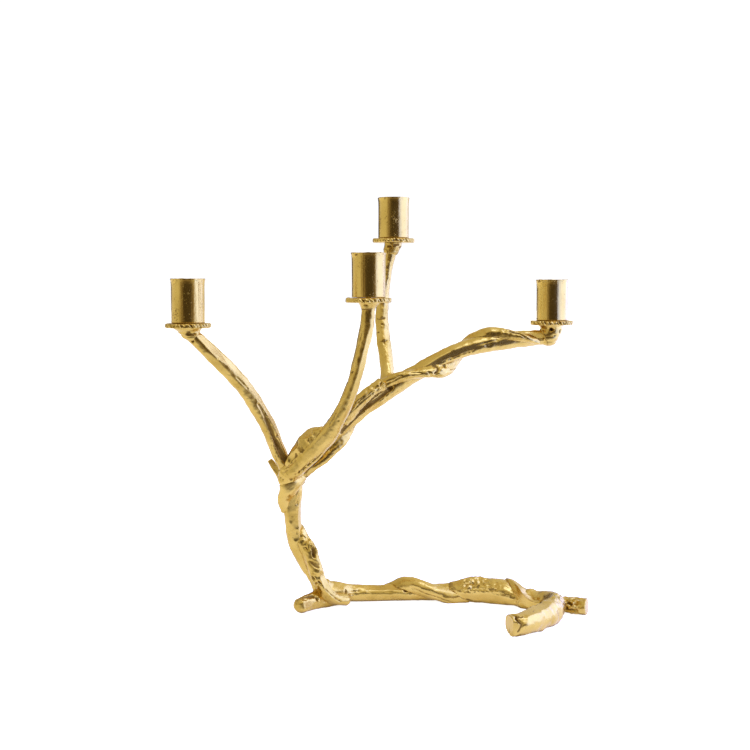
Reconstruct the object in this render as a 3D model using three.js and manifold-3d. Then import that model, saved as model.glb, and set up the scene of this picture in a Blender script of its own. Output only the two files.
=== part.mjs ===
// Tabletop candelabra for four taper candles, in the form of a twisted vine.
//
// The vine is a set of brass castings: a runner that lies on the table, a trunk, four arms, and
// the thinner strands twined round them. Each casting is coped to the ones already in place and
// brazed there. Every arm ends in a seat, on which a drip pan and a turned candle cup are held by
// one countersunk screw from inside the cup.
//
// Millimetres, +Z up. The vine is drawn from a point on the table under the middle of its spread,
// with +X to the right and +Y away from its front; the whole is then moved so that the origin is
// the middle of its footprint.

import * as THREE from "three";
import { mergeVertices } from "three/addons/utils/BufferGeometryUtils.js";
import Module from "manifold-3d";

const wasm = await Module();
wasm.setup();

// ---- Driving dimensions ------------------------------------------------------------------------

const BRAZE_GAP = 0.3; // between any two pieces that meet
const RUN_OUT = 1; // how far a cutter goes past the face it opens
const CANDLE = 22.2; // diameter of a standard 7/8 inch taper
const CANDLE_PLAY = 0.2; // all round a candle in its cup

const CUP = {
  height: 34.4,
  bore: CANDLE / 2 + CANDLE_PLAY, // radius
  wall: 1.7,
  flare: 0.7, // how far the lip leans out
  flareHeight: 5,
  foot: { bead: 0.3, height: 1.6 },
  mouth: { bevel: 0.3, depth: 1 },
  floor: 3,
  sides: 24,
};
const PAN = { radius: 18, thickness: 3.6, scallops: 13, scallopDepth: 0.7, sides: 39 };
const SCREW = {
  shank: 2, // radius of an M4 thread
  head: 3.7,
  headSlope: 1.7,
  length: 11,
  tip: { radius: 1.4, length: 0.8 },
  sunk: 0.1, // below the cup's floor
  slotWidth: 0.9,
  slotDepth: 0.8,
  sides: 14,
};
const SEAT = { height: 5.2, belly: 0.5, edge: 1, cap: 2, sides: 18 }; // cap: above the arm's end
const PEEP_HOLE = { radius: 1.5, depth: 5, drop: 2.9 }; // the round hole in the front of one seat

const VINE_SIDES = 10;
const TWINE_SIDES = 8;

// Where each candle cup stands: the middle of its underside, and the radii of the seat below it.
const STATIONS = {
  left: { at: [-146, -49, 238.6], seatTop: 10, seatFoot: 7.4 },
  front: { at: [-4.9, -59, 258.5], seatTop: 7.8, seatFoot: 5.8 },
  rear: { at: [16, 52, 308.3], seatTop: 7.6, seatFoot: 5.6 },
  right: { at: [150.2, 35, 238.2], seatTop: 9.2, seatFoot: 6.8, peepHole: true },
};

// ---- The vine's routes: points of a smooth centreline, each [x, y, z, radius] -------------------

const ROUTES = {
  trunk_core: [
    [-43, 4, 7, 7],
    [-49, 4, 24, 7.1],
    [-58, 3, 38, 7.1],
    [-65, 1, 54, 7.1],
    [-68, -2, 72, 6.8],
    [-68, -4, 87, 6.8],
    [-67, -5, 99, 7.2],
    [-67, -5, 111, 7.4],
  ],
  heel_foot: [
    [-61, -20, 6.2, 6.6],
    [-52, -9, 6.6, 7],
    [-41, 1, 6.7, 7.1],
    [-29, 7, 6.4, 6.6],
  ],
  base_runner: [
    [-45, 3, 18.5, 4.6],
    [-36, 8, 13, 6.5],
    [-24, 13, 8.7, 7.2],
    [-8, 17, 6.5, 7],
    [10, 19, 6.4, 7],
    [30, 20, 6.5, 7.1],
    [49, 20, 7.1, 7.3],
    [66, 19, 8.2, 7.6],
    [78, 17, 9, 7.6],
  ],
  bark_log: [
    [66, 19, 9.2, 6.6],
    [73, 18.5, 9.8, 9.2],
    [82, 17, 10, 10.8],
    [94, 14, 9.9, 11.2],
    [108, 9, 9.6, 10.6],
    [118, 4, 8.2, 9],
    [128, -2, 7, 7.2],
  ],
  front_foot: [
    [120, 2, 7.1, 6],
    [133, -7, 7.4, 7.6],
    [141.5, -16, 8, 8.9],
    [144.5, -30, 8.8, 9.8],
    [140, -49, 9, 10],
    [125, -69, 8.8, 9.3],
    [104, -83.8, 8, 8.3],
  ],
  right_foot: [
    [144, -13, 6.6, 6.4],
    [157, -20, 6.5, 6.8],
    [172, -26.5, 6.5, 7],
  ],
  right_limb: [
    [-70, -4, 104, 6.6],
    [-59, -4, 117.4, 6.9],
    [-48, -2, 130.5, 7.2],
    [-36, 0, 143, 7.3],
    [-24, 3, 155.2, 7.4],
    [-10, 7, 167, 7.4],
    [4.5, 11, 176, 7.4],
    [20, 14, 186, 7.4],
    [36, 17, 195.4, 7.3],
    [56, 21, 206.3, 7.2],
    [76, 25, 214.5, 7.2],
    [100, 29, 219.5, 7.2],
    [127, 33, 222.7, 6.8],
    [154, 35, 224.3, 6.3],
  ],
  left_arm: [
    [-70, -5, 108, 6],
    [-75, -10, 123, 6.3],
    [-81, -14, 138, 6.4],
    [-86, -19, 152, 6.3],
    [-93, -24, 167, 6.2],
    [-103.5, -31, 185, 6.2],
    [-115.5, -38, 200.5, 6.3],
    [-129.5, -44, 215.5, 6.5],
    [-141, -48, 226, 6.6],
    [-148, -49, 234, 6.4],
  ],
  front_arm: [
    [-74, -11, 108, 6.2],
    [-61, -20, 123, 7.4],
    [-49, -28, 136, 7.6],
    [-37, -36, 150, 7],
    [-27.5, -43, 166, 6],
    [-20.5, -48, 181, 5.7],
    [-14.5, -53, 200, 5.4],
    [-9.5, -56, 221, 5.3],
    [-6, -58.5, 239, 5.1],
    [-5, -59, 251, 5.2],
  ],
  rear_arm: [
    [10, 16, 186, 5.6],
    [10, 27, 200, 5.6],
    [8, 35, 216, 5.6],
    [6, 42, 235, 5.7],
    [6.5, 47, 255, 5.3],
    [9.5, 50, 277, 4.9],
    [12.5, 52, 294, 5],
    [16, 52, 302, 5.4],
  ],
  trunk_twine: [
    [-64, 5, 66, 2.8],
    [-60, 0, 59, 4.3],
    [-54.5, -5, 50, 5.6],
    [-51, -7, 39.5, 6],
    [-47, -8, 27, 5.8],
    [-41, -8, 16, 5.2],
    [-33, -5, 8, 4.8],
    [-24, 0, 5, 4],
  ],
  fork_ridge: [
    [113, 13, 17, 2.4],
    [116, 5, 18, 3.4],
    [119.5, -4, 15.6, 4.2],
    [123, -11, 10.8, 4.6],
    [128, -17, 7, 4.2],
    [136, -20, 6, 2.8],
  ],
  inner_strand: [
    [-27, -5, 157.5, 3.6],
    [-15, -3, 170.5, 4.8],
    [-4, 0, 180, 5],
    [6, 4, 186.5, 4.6],
  ],
  arm_burl: [
    [-70, -17, 123, 3.6],
    [-60.8, -23, 135, 6.8],
    [-51.5, -28, 144.8, 7.4],
    [-42, -35, 151.5, 4.6],
  ],
  curled_tail: [
    [-66, 0, 112, 2],
    [-61, -8.5, 109.5, 2.2],
    [-65, -13, 105.6, 3.8],
    [-70.5, -13, 101.6, 5],
    [-75.5, -10, 95, 4.6],
    [-76.5, -7, 88, 3.4],
    [-76, -4, 82, 1.6],
  ],
  cut_twig: [
    [-76, -3, 106, 3.3],
    [-81.5, -1, 115, 2.8],
    [-87, 1, 123, 2.4],
  ],
};

// The strands wound round a core. A turn is the share of the core's length it is at, how many
// degrees round the core it lies (0 to the front, 90 on top), how far the strand's middle stands
// off the core's skin, and the strand's radius.
const WINDINGS = {
  limb_twine: {
    core: "right_limb",
    turns: [
      [0.05, -58, -3.4, 3],
      [0.12, -70, 0.6, 4.7],
      [0.185, -78, 0.7, 4.9],
      [0.255, -98, -2.4, 4.4],
      [0.36, -180, 0, 4.2],
      [0.45, -270, 1.4, 4.2],
      [0.6, -360, 0.2, 3.8],
      [0.685, -450, 2.4, 5.4],
      [0.765, -540, 1.6, 5.2],
      [0.84, -630, 1.6, 5.6],
      [0.92, -720, 0.4, 3.8],
      [0.96, -765, 0.4, 1.6],
    ],
  },
  base_twine: {
    core: "base_runner",
    turns: [
      [0.51, 165, -1, 2.4],
      [0.6, 95, 2, 5],
      [0.7, 45, 1.4, 5.2],
      [0.8, 0, 0.8, 4.8],
      [0.9, -50, 0.4, 4.4],
      [0.98, -85, -1.6, 3.6],
    ],
  },
};

const WOUND_POINT_SPACING = 25; // degrees round the core

// The order of assembly. A casting is coped to every one above it in this list.
const CASTINGS = [
  ["trunk_core", 16],
  ["right_limb", 26],
  ["base_runner", 18],
  ["bark_log", 10],
  ["heel_foot", 8],
  ["front_foot", 14],
  ["right_foot", 4],
  ["front_arm", 18],
  ["left_arm", 18],
  ["rear_arm", 14],
  ["limb_twine", 44],
  ["base_twine", 12],
  ["fork_ridge", 10],
  ["trunk_twine", 12],
  ["inner_strand", 8],
  ["arm_burl", 7],
  ["curled_tail", 9],
  ["cut_twig", 4],
];

// ---- Materials ---------------------------------------------------------------------------------

const brass = (colour, roughness) =>
  new THREE.MeshStandardMaterial({ color: colour, roughness, metalness: 1 });
const CAST_BRASS = brass(0xd8b15a, 0.3);
const TURNED_BRASS = brass(0xc9a14c, 0.22);
const HAMMERED_BRASS = brass(0xcfa955, 0.3);
const SCREW_BRASS = brass(0xb8924a, 0.35);

// ---- Solids ------------------------------------------------------------------------------------

function solidOf(geometry) {
  const bare = geometry.clone();
  bare.deleteAttribute("normal");
  bare.deleteAttribute("uv");
  const merged = mergeVertices(bare, 1e-3);
  return new wasm.Manifold(
    new wasm.Mesh({
      numProp: 3,
      vertProperties: new Float32Array(merged.attributes.position.array),
      triVerts: new Uint32Array(merged.index.array),
    }),
  );
}

function meshOf(name, solid, material) {
  const { vertProperties, triVerts } = solid.getMesh();
  const geometry = new THREE.BufferGeometry();
  geometry.setAttribute("position", new THREE.BufferAttribute(vertProperties, 3));
  geometry.setIndex(new THREE.BufferAttribute(triVerts, 1));
  geometry.computeVertexNormals();
  const mesh = new THREE.Mesh(geometry, material);
  mesh.name = name;
  return mesh;
}

// The biggest body of a solid: coping can leave a loose sliver beside it.
const biggest = (solid) =>
  solid.decompose().reduce((a, b) => (a.volume() > b.volume() ? a : b));

// A turned shape about a vertical axis through a point, from [radius, height] pairs that start and
// end on the axis or close on themselves.
function turned(profile, sides, [x, y, z]) {
  const geometry = new THREE.LatheGeometry(
    profile.map(([r, h]) => new THREE.Vector2(r, h)),
    sides,
  );
  geometry.rotateX(Math.PI / 2);
  return solidOf(geometry.translate(x, y, z));
}

const above = ([x, y, z], rise) => [x, y, z + rise];

// ---- Vines -------------------------------------------------------------------------------------

const FRONT = new THREE.Vector3(0, -1, 0);
const UP = new THREE.Vector3(0, 0, 1);

// A smooth centreline with a radius that changes along it.
class Vine {
  constructor(route) {
    this.line = new THREE.CatmullRomCurve3(route.map(([x, y, z]) => new THREE.Vector3(x, y, z)));
    this.girth = new THREE.CatmullRomCurve3(
      route.map(([, , , r], i) => new THREE.Vector3(i, r, 0)),
    );
  }

  radius(share) {
    return this.girth.getPoint(share).y;
  }

  // The directions across the vine at a share of its length: one to its front, one to its top.
  across(share) {
    const along = this.line.getTangent(share);
    const facing = Math.abs(along.dot(FRONT)) < 0.9 ? FRONT : UP;
    const front = facing.clone().addScaledVector(along, -facing.dot(along)).normalize();
    return { front, top: front.clone().cross(along) };
  }

  // The point that lies out from the centreline by a distance, at an angle round it.
  beside(share, degrees, distance) {
    const { front, top } = this.across(share);
    const angle = THREE.MathUtils.degToRad(degrees);
    return this.line
      .getPoint(share)
      .addScaledVector(front, distance * Math.cos(angle))
      .addScaledVector(top, distance * Math.sin(angle));
  }

  // A closed tube: a plain cylinder bent along the centreline, its skin moved out by swell.
  geometry(sides, steps, swell = 0) {
    const tube = new THREE.CylinderGeometry(1, 1, 1, sides, steps);
    const frames = this.line.computeFrenetFrames(steps, false);
    const at = tube.attributes.position;
    for (let i = 0; i < at.count; i++) {
      const step = Math.round((at.getY(i) + 0.5) * steps);
      const share = this.line.getUtoTmapping(step / steps);
      const radius = this.radius(share) + swell;
      const point = this.line
        .getPoint(share)
        .addScaledVector(frames.binormals[step], at.getX(i) * radius)
        .addScaledVector(frames.normals[step], at.getZ(i) * radius);
      if (step === 0) point.addScaledVector(frames.tangents[0], -swell);
      if (step === steps) point.addScaledVector(frames.tangents[steps], swell);
      at.setXYZ(i, point.x, point.y, point.z);
    }
    return tube;
  }
}

const LAP = 360; // degrees, which also brings a share of the length to the size of an angle

// The route of a strand that is wound round a core.
function woundRoute({ core, turns }) {
  const cored = new Vine(ROUTES[core]);
  const place = new THREE.CatmullRomCurve3(
    turns.map(([share, degrees]) => new THREE.Vector3(share * LAP, degrees, 0)),
  );
  const build = new THREE.CatmullRomCurve3(
    turns.map(([, , standOff, radius], i) => new THREE.Vector3(i, standOff, radius)),
  );
  const wholeTurn = Math.abs(turns.at(-1)[1] - turns[0][1]);
  const pointCount = Math.ceil(wholeTurn / WOUND_POINT_SPACING);
  return Array.from({ length: pointCount + 1 }, (_, i) => {
    const along = i / pointCount;
    const { x, y: degrees } = place.getPoint(along);
    const { y: standOff, z: radius } = build.getPoint(along);
    const share = x / LAP;
    const at = cored.beside(share, degrees, cored.radius(share) + standOff);
    return [at.x, at.y, at.z, radius];
  });
}

// ---- Candle stations ---------------------------------------------------------------------------

// The bore that a screw's shank passes through, with its clearance.
const shankHole = (at, depth) => {
  const radius = SCREW.shank + BRAZE_GAP;
  return turned(
    [
      [0, -depth],
      [radius, -depth],
      [radius, RUN_OUT],
      [0, RUN_OUT],
    ],
    SCREW.sides,
    at,
  );
};

function cup(at) {
  const { height, bore, wall, flare, flareHeight, foot, mouth, floor, sides } = CUP;
  const skin = bore + wall;
  const hole = SCREW.shank + BRAZE_GAP;
  const sinkTop = SCREW.head + BRAZE_GAP;
  const sinkFoot = floor - SCREW.headSlope - BRAZE_GAP;
  return turned(
    [
      [hole, 0],
      [skin + foot.bead, 0],
      [skin, foot.height],
      [skin, height - flareHeight],
      [skin + flare / 4, height - flareHeight / 2],
      [skin + flare, height],
      [bore + mouth.bevel, height],
      [bore, height - mouth.depth],
      [bore, floor],
      [sinkTop, floor],
      [hole, sinkFoot],
      [hole, 0],
    ],
    sides,
    at,
  );
}

// A disc whose rim is beaten into scallops.
function pan(at) {
  const { radius, thickness, scallops, scallopDepth, sides } = PAN;
  const outline = new THREE.Shape(
    Array.from({ length: sides }, (_, i) => {
      const angle = (i / sides) * 2 * Math.PI;
      const r = radius - (scallopDepth * (1 + Math.cos(angle * scallops))) / 2;
      return new THREE.Vector2(r * Math.cos(angle), r * Math.sin(angle));
    }),
  );
  const disc = new THREE.ExtrudeGeometry(outline, { depth: thickness, bevelEnabled: false });
  const foot = above(at, -BRAZE_GAP - thickness);
  return solidOf(disc.translate(...foot)).subtract(shankHole(above(foot, thickness), 2 * thickness));
}

const seatTopOf = (at) => above(at, -2 * BRAZE_GAP - PAN.thickness);

// The outside of the seat on the end of an arm, moved out by swell.
function seatBlank({ at, seatTop, seatFoot }, swell = 0) {
  return turned(
    [
      [0, -SEAT.height - swell],
      [seatFoot + swell, -SEAT.height - swell],
      [seatFoot + SEAT.belly + swell, -SEAT.height / 2],
      [seatTop + swell, -SEAT.edge],
      [seatTop + swell, swell],
      [0, swell],
    ],
    SEAT.sides,
    seatTopOf(at),
  );
}

function seat(station) {
  const top = seatTopOf(station.at);
  let solid = seatBlank(station).subtract(shankHole(top, SEAT.height - SEAT.edge));
  if (station.peepHole) {
    const { radius, depth, drop } = PEEP_HOLE;
    const drill = new THREE.CylinderGeometry(radius, radius, depth, SCREW.sides);
    const [x, y, z] = above(top, -drop);
    solid = solid.subtract(solidOf(drill.translate(x, y - station.seatTop, z)));
  }
  return solid;
}

function screw(at) {
  const { shank, head, headSlope, length, tip, sunk, slotWidth, slotDepth, sides } = SCREW;
  const headTop = CUP.floor - sunk;
  const blank = turned(
    [
      [0, headTop - length],
      [tip.radius, headTop - length],
      [shank, headTop - length + tip.length],
      [shank, headTop - headSlope],
      [head, headTop],
      [0, headTop],
    ],
    sides,
    at,
  );
  const slot = new THREE.BoxGeometry(3 * head, slotWidth, 2 * slotDepth);
  return blank.subtract(solidOf(slot.translate(...above(at, headTop))));
}

// ---- Assembly ----------------------------------------------------------------------------------

const candelabra = new THREE.Group();
candelabra.name = "candelabra";
const place = (name, solid, material) => candelabra.add(meshOf(name, solid, material));

const cutters = []; // what later castings are coped to

for (const [side, station] of Object.entries(STATIONS)) {
  place(`${side}_cup`, cup(station.at), TURNED_BRASS);
  place(`${side}_drip_pan`, pan(station.at), HAMMERED_BRASS);
  place(`${side}_seat`, seat(station), CAST_BRASS);
  place(`${side}_cup_screw`, screw(station.at), SCREW_BRASS);
  cutters.push(seatBlank(station, BRAZE_GAP));
  // An arm is sawn off inside its seat, so nothing of the vine stands above it.
  const sawn = new THREE.BoxGeometry(4 * PAN.radius, 4 * PAN.radius, CUP.height);
  const sawnOff = above(seatTopOf(station.at), CUP.height / 2 - SEAT.cap);
  cutters.push(solidOf(sawn.translate(...sawnOff)));
}

const [spread, slab] = [600, 20];
const table = new THREE.BoxGeometry(spread, spread, slab).translate(0, 0, -slab / 2);
cutters.push(solidOf(table));

for (const [name, steps] of CASTINGS) {
  const winding = WINDINGS[name];
  const vine = new Vine(winding ? woundRoute(winding) : ROUTES[name]);
  const sides = winding ? TWINE_SIDES : VINE_SIDES;
  const solid = cutters.reduce(
    (left, cutter) => left.subtract(cutter),
    solidOf(vine.geometry(sides, steps)),
  );
  place(name, biggest(solid), CAST_BRASS);
  cutters.push(solidOf(vine.geometry(sides, steps, BRAZE_GAP)));
}

// The origin is the middle of the footprint, on the table.
const extent = new THREE.Box3().setFromObject(candelabra);
const middle = extent.getCenter(new THREE.Vector3());
candelabra.position.set(-middle.x, -middle.y, -extent.min.z);

export default candelabra;
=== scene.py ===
# The looks of a tabletop candelabra: a twisted vine of polished cast brass that carries four
# candle cups. The pieces come in the order they are put together on the bench, from the trunk
# and the base up to the screws. Lengths are in millimetres until a mesh is finished.

import math
import random

import bmesh
import bpy
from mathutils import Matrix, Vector, noise
from mathutils.kdtree import KDTree


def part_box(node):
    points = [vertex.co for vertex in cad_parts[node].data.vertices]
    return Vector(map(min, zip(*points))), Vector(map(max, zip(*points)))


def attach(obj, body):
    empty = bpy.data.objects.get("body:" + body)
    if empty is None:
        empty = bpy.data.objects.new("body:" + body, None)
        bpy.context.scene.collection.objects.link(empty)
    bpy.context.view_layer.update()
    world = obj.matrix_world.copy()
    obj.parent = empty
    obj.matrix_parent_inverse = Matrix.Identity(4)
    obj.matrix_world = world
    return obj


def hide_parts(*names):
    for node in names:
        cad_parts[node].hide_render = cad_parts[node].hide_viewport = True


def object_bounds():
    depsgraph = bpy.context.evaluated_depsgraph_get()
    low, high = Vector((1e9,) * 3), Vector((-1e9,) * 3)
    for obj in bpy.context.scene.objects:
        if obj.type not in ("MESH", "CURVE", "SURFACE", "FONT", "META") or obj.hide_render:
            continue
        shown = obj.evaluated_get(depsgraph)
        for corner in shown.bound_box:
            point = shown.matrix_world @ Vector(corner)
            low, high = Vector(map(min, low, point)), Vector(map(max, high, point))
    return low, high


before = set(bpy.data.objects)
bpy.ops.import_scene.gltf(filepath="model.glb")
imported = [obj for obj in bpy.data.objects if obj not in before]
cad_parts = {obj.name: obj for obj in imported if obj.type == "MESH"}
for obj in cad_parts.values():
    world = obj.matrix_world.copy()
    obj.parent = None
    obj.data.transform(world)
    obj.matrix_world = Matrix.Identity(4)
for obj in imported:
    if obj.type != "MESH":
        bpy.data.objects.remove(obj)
cad_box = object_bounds()

# ---- Trunk -------------------------------------------------------------------------------------
# The trunk is a lost-wax casting of a vine as thick as a thumb. It leans to the left as it rises
# from the back of the heel. Everything else is brazed to it, or to what is brazed to it.

MM = 0.001


def underside(node):
    """The middle of a node's underside, in metres."""
    low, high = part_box(node)
    return Vector(((low.x + high.x) / 2, (low.y + high.y) / 2, low.z))


DRAWN_LEFT_CUP = Vector((-146, -49, 238.6))  # the left cup's underside, as the vine is drawn
SHIFT = underside("left_cup") - DRAWN_LEFT_CUP * MM

FRONT = Vector((0, -1, 0))
LINE_STEPS = 60  # straight bits between two of a vine's points
SIDES = 56  # faces round a vine
STEP = 0.8  # length of a face along it


class Vine:
    """A smooth line through [x, y, z, radius] points, with its directions across. They are square
    to the line, or level where a casting was cut level all the way."""

    def __init__(self, route, level=False):
        knots = [Vector(knot) for knot in route]
        befores = [2 * knots[0] - knots[1], *knots]
        afters = [*knots[2:], 2 * knots[-1] - knots[-2]]
        line = []
        for before, here, there, after in zip(befores, knots, knots[1:], afters):
            slope = there - before
            bend = 2 * before - 5 * here + 4 * there - after
            twist = 3 * here - before - 3 * there + after
            for i in range(LINE_STEPS):
                t = i / LINE_STEPS
                line.append((2 * here + slope * t + bend * t**2 + twist * t**3) / 2)
        line.append(knots[-1])
        reach = [0.0]
        for a, b in zip(line, line[1:]):
            reach.append(reach[-1] + (b - a).to_3d().length)
        self.length = reach[-1]
        self.reach = reach
        self.count = max(2, round(self.length / STEP))
        self.knots = []
        i = 0
        for station in range(self.count + 1):
            want = self.length * station / self.count
            while i < len(line) - 2 and reach[i + 1] < want:
                i += 1
            share = (want - reach[i]) / max(reach[i + 1] - reach[i], 1e-9)
            self.knots.append(line[i].lerp(line[i + 1], min(share, 1)))
        self.frames = []
        front = FRONT
        for i in range(self.count + 1):
            ahead = self.knots[min(i + 1, self.count)] - self.knots[max(i - 1, 0)]
            along = ahead.to_3d().normalized()
            front = (front - along * front.dot(along)).normalized()
            self.frames.append((front, front.cross(along), along))
        if level:
            down = Vector((0, 0, -1))
            self.frames = [(FRONT, FRONT.cross(down), down)] * len(self.knots)

    def beside(self, way, degrees, standoff):
        """The point that stands off the skin, at an angle round it, some way along the points."""
        reach = self.reach[round(way * (len(self.reach) - 1))]
        i = round(reach / self.length * self.count)
        front, top, _ = self.frames[i]
        turn = math.radians(degrees)
        out = front * math.cos(turn) + top * math.sin(turn)
        return self.knots[i].to_3d() + out * (self.knots[i].w + standoff)

    def radius(self, share):
        return self.knots[round(min(max(share, 0), 1) * self.count)].w


ROUND_RINGS, ROUND_DEPTH = 9, 0.8  # of a rounded end. The depth is a share of the radius
FACE_RINGS, FACE_SIZE, FACE_SWELL = 8, 0.93, 0.25  # of a sawn face, which is not quite flat
EDGE_RINGS, EDGE_WIDTH, EDGE_DEPTH = 3, 0.07, 0.5  # of the worn edge round a sawn face


def end_rings(kind, radius):
    """Rings that close a vine's end, from its middle outwards, as (share of the radius, how far
    they stand out past the end's last full ring)."""
    if kind == "round":
        turns = [math.pi / 2 * i / ROUND_RINGS for i in range(ROUND_RINGS + 1)]
        rings = [(math.sin(turn), radius * ROUND_DEPTH * (1 - math.cos(turn))) for turn in turns]
    else:
        shares = [i / FACE_RINGS for i in range(FACE_RINGS)]
        rings = [(FACE_SIZE * share, FACE_SWELL * share**2) for share in shares]
        for i in range(EDGE_RINGS + 1):
            turn = math.pi / 2 * i / EDGE_RINGS
            rings.append((1 - EDGE_WIDTH * math.cos(turn), EDGE_DEPTH * i / EDGE_RINGS))
    depth = rings[-1][1]
    return [(size, depth - back) for size, back in rings]


def skin_rings(vine, ends):
    """All rings of a vine's skin, as (number of the knot they are at, share of the radius, how
    far they stand off that knot along the vine)."""
    head = [(0, size, -past) for size, past in end_rings(ends[0], vine.knots[0].w)]
    body = [(i, 1.0, 0.0) for i in range(1, vine.count)]
    tail = [(vine.count, size, past) for size, past in end_rings(ends[1], vine.knots[-1].w)]
    return head + body + tail[::-1]


def laid_flat(strokes, vine):
    """Each stroke as its depth, width and points laid out flat: along the vine, and round it."""
    laid = []
    for depth, width, marks in strokes:
        places = [
            Vector((share * vine.length, math.radians(degrees) * vine.radius(share)))
            for share, degrees in marks
        ]
        low = min(place.x for place in places) - width
        high = max(place.x for place in places) + width
        laid.append((depth, width, places, low, high))
    return laid


def from_stroke(spot, places, girth):
    """How far a spot on the flat-laid skin is from a stroke's line."""
    nearest = math.inf
    for a, b in zip(places, places[1:] or places):
        line = b - a
        for lap in (-girth, 0, girth):
            way = spot + Vector((0, lap)) - a
            share = min(max(way.dot(line) / max(line.length_squared, 1e-9), 0), 1)
            nearest = min(nearest, (way - line * share).length)
    return nearest


def stroke_depth(spot, laid, girth):
    """How deep the strokes cut at a spot on the flat-laid skin."""
    cut = 0.0
    for depth, width, places, low, high in laid:
        if low < spot.x < high:
            away = from_stroke(spot, places, girth) / width
            if away < 1:
                cut += depth * (1 - away**2) ** 2
    return cut


brazed = {}  # the vines made so far, and where their knots are


def gap_to_brazed(place):
    """How far a place is from the skin of the nearest vine that is already made."""
    gap = math.inf
    for vine, finder in brazed.values():
        _, i, away = finder.find(place)
        gap = min(gap, away - vine.knots[i].w)
    return gap


def within_box(place):
    """A place kept off the table's top and inside the size of the whole casting."""
    low, high = cad_box
    return Vector([min(max(value, low[i]), high[i]) for i, value in enumerate(place)])


LUMPS, TEARS, STAINS = 0.08, 0.32, 0.3  # how fine these noises are, per millimetre
GRAIN_ALONG, GRAIN_ROUND = 0.05, 2.4  # how fine the grain is along a vine and round it
OVAL_TWIST = 0.05  # how fast the oval turns along a vine
FACET_EDGE = 0.3  # the cosine of how far round from its middle a facet may reach
BROWN_DEPTH = 1.2  # of a cut that is brown all over
SEAM_REACH = 0.9  # how far from a brazed seam its brown reaches


def cast_vine(name, vine, strokes=(), facets=(), torn=(), lumps=0.6, grain=0.0, pits=0.08,
              ends=("cut", "cut"), sides=SIDES, oval=0.05, weld=5.0):
    """A bmesh of a cast vine. Its skin has lumps, lengthways grain, small pits, hand-cut strokes
    (depth, width, [(share, degrees), ...]), flat facets (share, degrees, reach, share of the
    radius) and torn patches (share, degrees, reach, height). It swells where it is brazed to a
    vine that is already made."""
    luck = random.Random(name)
    for _ in range(round(pits * vine.length)):
        spot = [(luck.random(), luck.uniform(-180, 180))]
        size = luck.uniform(0.5, 1.1)
        strokes = [*strokes, (size * 0.4, size, spot)]
    laid = laid_flat(strokes, vine)
    rings = skin_rings(vine, ends)
    form = bmesh.new()
    hollow = form.verts.layers.float.new("hollow")
    bmesh.ops.create_grid(form, x_segments=sides, y_segments=len(rings) - 1, size=0.5)
    phase = luck.uniform(0, 6)
    for vert in form.verts:
        turn = 2 * math.pi * (round((vert.co.x + 0.5) * sides) % sides) / sides
        i, size, past = rings[round((vert.co.y + 0.5) * (len(rings) - 1))]
        front, top, along = vine.frames[i]
        out = front * math.cos(turn) + top * math.sin(turn)
        middle, whole = vine.knots[i].to_3d(), vine.knots[i].w
        reach, girth = vine.length * i / vine.count, 2 * math.pi * whole
        spot = Vector((reach, (turn if turn <= math.pi else turn - 2 * math.pi) * whole))
        radius = whole * (1 + oval * math.cos(2 * turn + phase + reach * OVAL_TWIST))
        place = middle + out * radius
        skin = lumps * noise.fractal(place * LUMPS, 0.8, 2.1, 4)
        if grain:
            across, upward = GRAIN_ROUND * math.cos(turn), GRAIN_ROUND * math.sin(turn)
            lines = Vector((reach * GRAIN_ALONG, across, upward))
            skin += grain * noise.fractal(lines + Vector((phase, 0, 0)), 0.7, 2.2, 4)
        for share, degrees, extent, height in torn:
            patch = [Vector((share * vine.length, math.radians(degrees) * whole))]
            off = from_stroke(spot, patch, girth) / extent
            if off < 1:
                skin += height * (1 - off**2) * noise.fractal(place * TEARS, 0.9, 2.2, 3)
        cut = stroke_depth(spot, laid, girth)
        radius += skin - cut
        for share, degrees, extent, distance in facets:
            off = abs(reach - share * vine.length) / extent
            lean = math.cos(turn - math.radians(degrees))
            if off < 1 and lean > FACET_EDGE:
                radius = min(radius, whole * distance * (1 + 0.25 * off**4) / lean)
        seam = 0
        if brazed:
            gap = gap_to_brazed(middle + out * radius)
            seam = max(0, 1 - abs(gap) / SEAM_REACH)
            radius += weld / 2 * max(0, 1 - max(gap, 0) / weld) ** 2
        stain = noise.fractal(place * STAINS, 1, 2, 3)
        dirt = cut / BROWN_DEPTH + 0.7 * seam + 0.25 * stain
        vert[hollow] = min(max(dirt, 0), 1)
        vert.co = within_box((middle + out * radius * size + along * past) * MM + SHIFT)
    bmesh.ops.remove_doubles(form, verts=form.verts, dist=2e-6)
    bmesh.ops.recalc_face_normals(form, faces=form.faces)
    return form


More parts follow.
